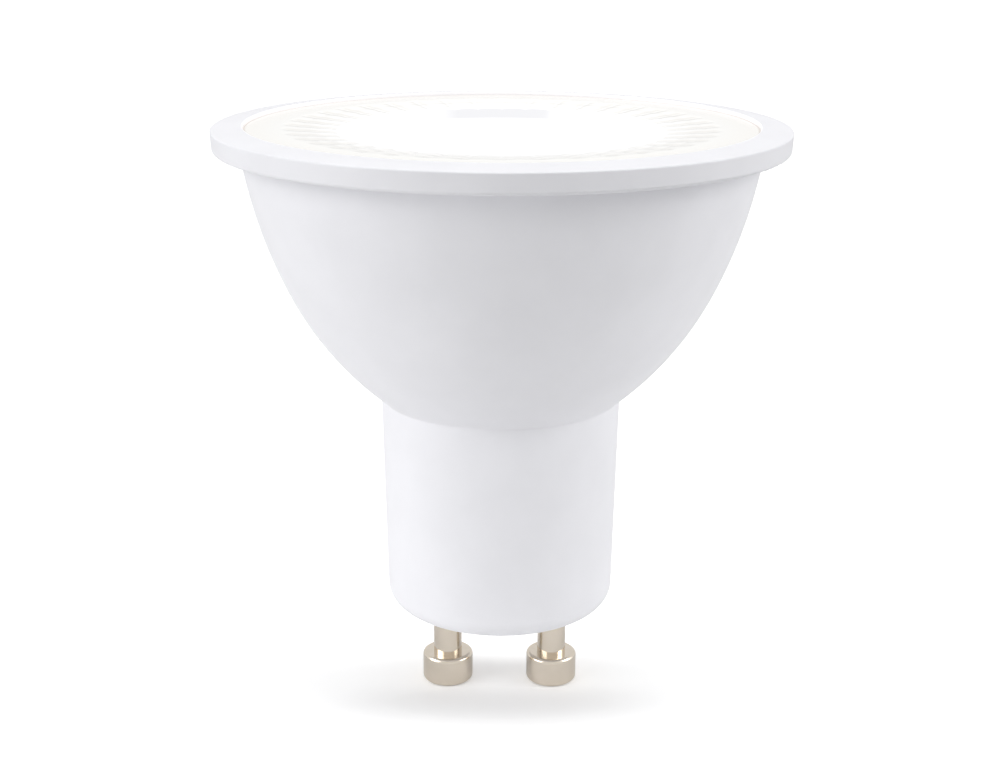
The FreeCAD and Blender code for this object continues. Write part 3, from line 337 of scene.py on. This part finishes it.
def turned_nickel():
    """Nickel plate over brass turned on a lathe: a warm grey metal whose fine rings spread what it
    mirrors up and down the pin."""
    material, shader = new_material("turned_nickel_plate")
    shader.inputs["Metallic"].default_value = 1.0
    shader.inputs["Anisotropic"].default_value = 0.6
    shade_between(shader, grain(shader, size_mm=1.4), "#DBD1C2", "#DED4C6")
    rings = add(shader, "ShaderNodeTexWave",
                settings={"wave_type": "BANDS", "bands_direction": "Z", "wave_profile": "SIN"},
                inputs={"Scale": 2 * math.pi / (WAVE_RADIANS * RING_PITCH * MM),
                        "Distortion": 0.6, "Detail": 2.0},
                links={"Vector": object_position(shader)})
    feed(shader, "Roughness", map_range(shader, rings.outputs["Fac"], low=0.13, high=0.18))
    round_axis = add(shader, "ShaderNodeTangent",
                     settings={"direction_type": "RADIAL", "axis": "Z"})
    feed(shader, "Tangent", round_axis.outputs["Tangent"])
    return material


def lit_acrylic():
    """Clear moulded acrylic whose emission paints the LEDs' light coming up through it: full white
    in the middle, a little warmer in the plain ring, and painted shade in a thin darker ring at the
    edge."""
    material, shader = new_material("lit_clear_acrylic")
    shader.inputs["IOR"].default_value = ACRYLIC_IOR
    shader.inputs["Roughness"].default_value = 0.2
    shader.inputs["Base Color"].default_value = linear("#3C3C3A")
    # Painted light: the emission colour paints the LEDs' light through the lens, with painted shade
    # in a thin ring at its edge
    glow = ramp(shader, share_of(shader, axis_distance(shader), LENS_EDGE), LENS_LIGHT)

    # Painted shade for the light that a facet's slopes round the axis turn away, most at the lens's
    # two sides
    normal = add(shader, "ShaderNodeNewGeometry").outputs["Normal"]
    outwards = add(shader, "ShaderNodeVectorMath", settings={"operation": "NORMALIZE"},
                   links={0: flat_position(shader)}).outputs["Vector"]
    round_slope = add(shader, "ShaderNodeVectorMath", settings={"operation": "CROSS_PRODUCT"},
                      links={0: outwards, 1: normal}).outputs["Vector"]
    slope = calculate(shader, "ABSOLUTE", split(shader, round_slope, "Z"))
    to_side = calculate(shader, "ABSOLUTE", split(shader, outwards, "X"))
    across = calculate(shader, "MULTIPLY", slope, map_range(shader, to_side, *FACET_CONTRAST))
    painted_slope_shade = ramp(shader, across, FACET_LIGHT)

    # Painted shade: the wall of the sunk middle is a little dimmer, but not at the two sides
    low, high = (position for position, _ in WALL_LIGHT)
    dimmed = calculate(shader, "MAXIMUM", split(shader, normal, "Z"),
                       map_range(shader, to_side, low, high, *WALL_LIT_SIDES))
    wall = ramp(shader, dimmed, WALL_LIGHT)
    facets = mix_colours(shader, 1.0, glow, painted_slope_shade, "MULTIPLY")
    feed(shader, "Emission Color", mix_colours(shader, 1.0, facets, wall, "MULTIPLY"))

    # What the surface mirrors of the room it doesn't let through
    fresnel = add(shader, "ShaderNodeFresnel", inputs={"IOR": ACRYLIC_IOR}).outputs["Fac"]
    mirrored = calculate(shader, "MINIMUM", fresnel, MOST_MIRRORED)
    feed(shader, "Emission Strength",
         calculate(shader, "MULTIPLY_ADD", mirrored, -LENS_GLOW, LENS_GLOW))
    return material


def plain_finish(name, dark, light, roughness, metallic=0.0, grain_mm=0.5):
    """Finish with a slight drift of colour and a fine grain."""
    material, shader = new_material(name)
    shader.inputs["Metallic"].default_value = metallic
    shader.inputs["Roughness"].default_value = roughness
    noise = grain(shader, grain_mm)
    shade_between(shader, noise, dark, light)
    bump(shader, noise, depth_mm=0.004)
    return material


def glowing_phosphor():
    """Yellow phosphor in a white frame, lit."""
    material = plain_finish("led_phosphor_lit", "#F2D27A", "#FBE7A6", 0.5, grain_mm=0.2)
    shader = material.node_tree.nodes["Principled BSDF"]
    shader.inputs["Emission Color"].default_value = linear("#FFE9B8")
    shader.inputs["Emission Strength"].default_value = 2.0
    return material


def dress(nodes, material):
    """Give CAD nodes a material in place of the plain one."""
    for name in nodes:
        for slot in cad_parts[name].material_slots:
            slot.material = material


# The lens, drawn as a half section that is turned about the lamp's axis

def begin_outline(name, across, up):
    """New piece with one vertex, ready to be drawn on from."""
    bpy.ops.object.select_all(action="DESELECT")
    bpy.ops.mesh.primitive_plane_add(size=MM, location=(0, 0, 0))
    piece = bpy.context.object
    piece.name = name
    bpy.ops.object.mode_set(mode="EDIT")
    bpy.ops.mesh.select_all(action="SELECT")
    bpy.ops.mesh.merge(type="CENTER")
    bpy.ops.mesh.select_all(action="SELECT")
    bpy.ops.transform.translate(value=(across * MM, 0, up * MM))
    return piece


def draw_line(start, end, steps=1):
    """Extrude the last vertex in even steps from one point of the section to another."""
    across, up = ((end[axis] - start[axis]) / steps * MM for axis in (0, 1))
    for _ in range(steps):
        bpy.ops.mesh.extrude_region_move(TRANSFORM_OT_translate={"value": (across, 0, up)})


def draw_crown(start, end, rise, steps):
    """Extrude the last vertex along a shallow arch between two points."""
    previous = start
    for step in range(1, steps + 1):
        share = step / steps
        point = (
            start[0] + (end[0] - start[0]) * share,
            start[1] + (end[1] - start[1]) * share + rise * 4 * share * (1 - share),
        )
        draw_line(previous, point)
        previous = point


def select_vertices(piece, chosen):
    """Select vertices in edit mode by a test of their place in millimetres."""
    bpy.ops.object.mode_set(mode="OBJECT")
    for polygon in piece.data.polygons:
        polygon.select = False
    for edge in piece.data.edges:
        edge.select = False
    for vertex in piece.data.vertices:
        vertex.select = chosen(vertex.co / MM)
    bpy.ops.object.mode_set(mode="EDIT")


def draw_section(name):
    """Half section of the lens, from the middle of its top round to the middle of its underside."""
    facet_foot = (SUNK_EDGE, LENS_TOP - FACET_FALL)
    sunk_floor = LENS_TOP - FACET_FALL - SUNK_DEPTH
    under = sunk_floor - LENS_WALL

    piece = begin_outline(name, 0, sunk_floor)
    draw_line((0, sunk_floor), (SUNK_EDGE - SUNK_INSET, sunk_floor), SUNK_FLOOR_STEPS)
    draw_line((SUNK_EDGE - SUNK_INSET, sunk_floor), facet_foot, SUNK_WALL_STEPS)
    previous = facet_foot
    for row in range(1, FACET_ROWS + 1):
        point = (
            SUNK_EDGE + (FACET_EDGE - SUNK_EDGE) * row / FACET_ROWS,
            LENS_TOP - FACET_FALL * (FACET_ROWS - row) / FACET_ROWS,
        )
        draw_crown(previous, point, FACET_CROWN, ROW_STEPS)
        previous = point
    corners = [
        previous,
        (LENS_EDGE, LENS_TOP),
        (LENS_EDGE, LENS_LEDGE),
        (SKIRT_EDGE, LENS_LEDGE),
        (SKIRT_EDGE, SKIRT_END),
        (SKIRT_EDGE - SKIRT_WALL, SKIRT_END),
        (SKIRT_EDGE - SKIRT_WALL, LENS_LEDGE),
        (SUNK_EDGE + LENS_WALL, LENS_LEDGE),
        (SUNK_EDGE - SUNK_INSET, under),
        (0, under),
    ]
    for start, end in zip(corners, corners[1:]):
        draw_line(start, end)
    return piece


def in_facets(place):
    """Whether a place lies in the facets' top, short of their outer edge."""
    radius = math.hypot(place.x, place.y)
    top = place.z > LENS_TOP - FACET_FALL - TOLERANCE
    return top and SUNK_EDGE - TOLERANCE < radius < FACET_EDGE - VALLEY_STOP


def sink_valleys(piece, column_angle):
    """Sink both sides of the column into a valley, more the nearer they are to its edge."""
    for step in range(COLUMN_STEPS + 1):
        from_middle = abs(step / COLUMN_STEPS - 0.5) * 2
        depth = VALLEY_DEPTH * from_middle ** VALLEY_SHARPNESS
        if depth < LEAST_DEPTH:
            continue

        def in_line(place, turn=step / COLUMN_STEPS * column_angle):
            angle = abs(math.atan2(place.y, place.x))
            return in_facets(place) and abs(angle - turn) < column_angle / COLUMN_STEPS / 3

        select_vertices(piece, in_line)
        bpy.ops.transform.translate(value=(0, 0, -depth * MM))


def make_lens():
    """One column of facets is drawn and shaped, then repeated round the lamp's axis."""
    piece = draw_section("faceted_lens")
    column_angle = 2 * math.pi / FACET_COLUMNS
    about_axis = {"center": (0, 0, 0), "axis": (0, 0, 1), "use_auto_merge": False}
    bpy.ops.mesh.select_all(action="SELECT")
    bpy.ops.mesh.spin(steps=COLUMN_STEPS, angle=column_angle, **about_axis)
    sink_valleys(piece, column_angle)
    bpy.ops.mesh.select_all(action="SELECT")
    bpy.ops.mesh.spin(steps=FACET_COLUMNS, angle=2 * math.pi, dupli=True, **about_axis)

    bpy.ops.mesh.select_all(action="SELECT")
    bpy.ops.mesh.remove_doubles(threshold=MERGE_DISTANCE * MM)
    bpy.ops.mesh.normals_make_consistent(inside=False)
    bpy.ops.object.mode_set(mode="OBJECT")
    bpy.ops.object.shade_smooth_by_angle(angle=math.radians(SMOOTH_ANGLE))
    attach(piece, "root")
    piece.data.materials.append(lit_acrylic())
    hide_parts("lens")


# Studio

def make_floor():
    """White paper under the lamp in a dark room: it lights the lamp from near by only, and it is
    seen as white all over, with the lamp's shadow."""
    bpy.ops.object.select_all(action="DESELECT")
    bpy.ops.mesh.primitive_plane_add(size=FLOOR_SIZE, location=(0, 0, -FLOOR_DROP))
    floor = bpy.context.object
    floor.name = "floor"
    material, shader = new_material("white_paper_sweep")
    shader.inputs["Roughness"].default_value = 0.9
    shader.inputs["Specular IOR Level"].default_value = 0.0
    distance = length(shader, object_position(shader))
    fall_off = ramp(shader, share_of(shader, distance, PAPER_DARK),
                    [(PAPER_LIT / PAPER_DARK, FLOOR_SEEN), (1.0, "#000000")])
    seen = ray_is(shader, "Camera", "Glossy", "Transmission")
    feed(shader, "Base Color", mix_colours(shader, seen, fall_off, linear(FLOOR_SEEN)))

    # Away from the soft shadow round the pins the paper is plain white
    spot = add(shader, "ShaderNodeMapping",
               inputs={"Location": (0.0, SHADOW_FORWARD * SHADOW_SQUEEZE * MM, 0.0),
                       "Scale": (1.0, SHADOW_SQUEEZE, 1.0)},
               links={"Vector": object_position(shader)})
    away = length(shader, spot.outputs["Vector"])
    lift = ramp(shader, share_of(shader, away, SHADOW_REACH), FLOOR_LIFT, "B_SPLINE")
    reflected = map_range(shader, ray_is(shader, "Glossy"), 0.0, REFLECTED_LIFT)
    shader.inputs["Emission Color"].default_value = linear("#FFFFFF")
    feed(shader, "Emission Strength",
         calculate(shader, "MULTIPLY_ADD", lift, ray_is(shader, "Camera", "Transmission"),
                   reflected))
    floor.data.materials.append(material)


def make_world():
    """White where the camera sees it, a softer white in what the surfaces mirror, and softer still
    for the light it gives."""
    world = bpy.data.worlds.new("studio")
    bpy.context.scene.world = world
    world.use_nodes = True
    background = world.node_tree.nodes["Background"]
    mirrored = map_range(background, ray_is(background, "Glossy"), WORLD_LIGHT, WORLD_MIRRORED)
    background.inputs["Color"].default_value = linear("#FFFFFF")
    feed(background, "Strength",
         calculate(background, "MAXIMUM", mirrored, ray_is(background, "Camera", "Transmission")))


def make_softbox(name, place, size, power):
    """Rectangular soft light, in metres and watts, aimed at the lamp."""
    bpy.ops.object.select_all(action="DESELECT")
    bpy.ops.object.light_add(type="AREA", location=place)
    lamp = bpy.context.object
    lamp.name = name
    lamp.data.shape = "RECTANGLE"
    lamp.data.size, lamp.data.size_y = size
    lamp.data.energy = power
    lamp.rotation_euler = (Vector(AIM) - Vector(place)).to_track_quat("-Z", "Y").to_euler()


def make_camera():
    data = bpy.data.cameras.new("camera")
    data.sensor_width = CAMERA_SENSOR
    data.lens = CAMERA_LENS
    data.clip_start = CAMERA_NEAR
    camera = bpy.data.objects.new("camera", data)
    camera.location = CAMERA_PLACE
    tilt = Euler((math.radians(90 - CAMERA_PITCH), 0, 0)).to_matrix()
    roll = Euler((0, 0, math.radians(CAMERA_ROLL))).to_matrix()
    camera.rotation_euler = (tilt @ roll).to_euler()
    bpy.context.collection.objects.link(camera)
    bpy.context.scene.camera = camera


bpy.context.scene.view_settings.view_transform = "Standard"
make_camera()
make_floor()
make_world()
for name, place, size, power in SOFTBOXES:
    make_softbox(name, place, size, power)

make_lens()
dress(["housing"], moulded_polyester())
dress(["contact_pin_left", "contact_pin_right"], turned_nickel())
dress(["led_chips"], glowing_phosphor())
for nodes, name, dark, light, roughness, others in INSIDE_FINISHES:
    dress(nodes, plain_finish(name, dark, light, roughness, **others))
